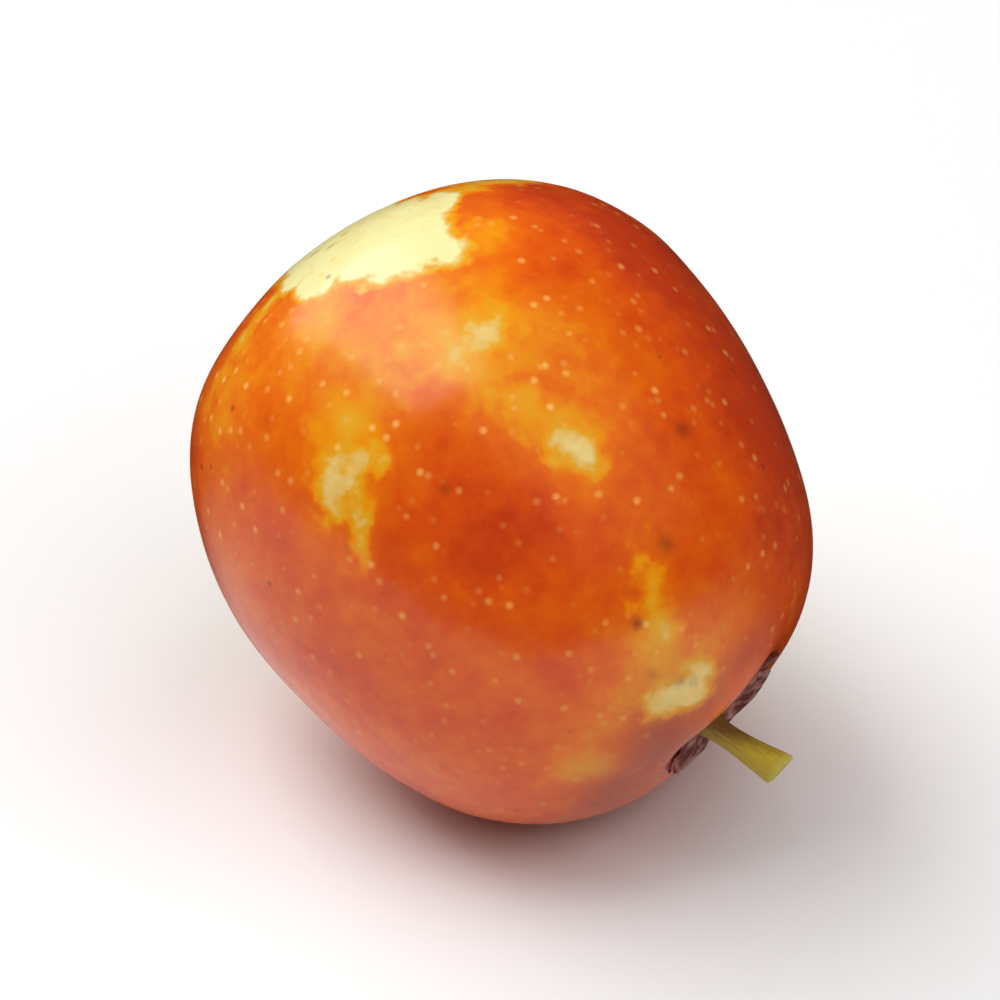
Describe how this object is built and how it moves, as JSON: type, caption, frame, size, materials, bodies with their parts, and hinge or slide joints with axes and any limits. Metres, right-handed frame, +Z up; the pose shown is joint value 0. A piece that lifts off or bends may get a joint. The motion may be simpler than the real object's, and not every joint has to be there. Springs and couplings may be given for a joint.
{
  "type": "jujube",
  "caption": "Fresh ripening jujube, a rounded oval fruit with a short flared stem in a torn dry calyx disc, lying on its side on a small flat spot.",
  "frame": {"origin": "middle of the flat spot that the fruit rests on", "axes": "+Z up off the table, +X the way the stem points seen from above"},
  "size_m": [0.0347, 0.0303, 0.0305],
  "materials": {
    "skin": "glossy waxy fruit skin, yellow-green ripening to red",
    "calyx": "matte, dry and shrivelled",
    "stem": "satin green stem with a fresh cut end"
  },
  "bodies": {
    "root": {"fruit": "skin", "calyx_disc": "calyx", "stem": "stem"}
  },
  "joints": []
}
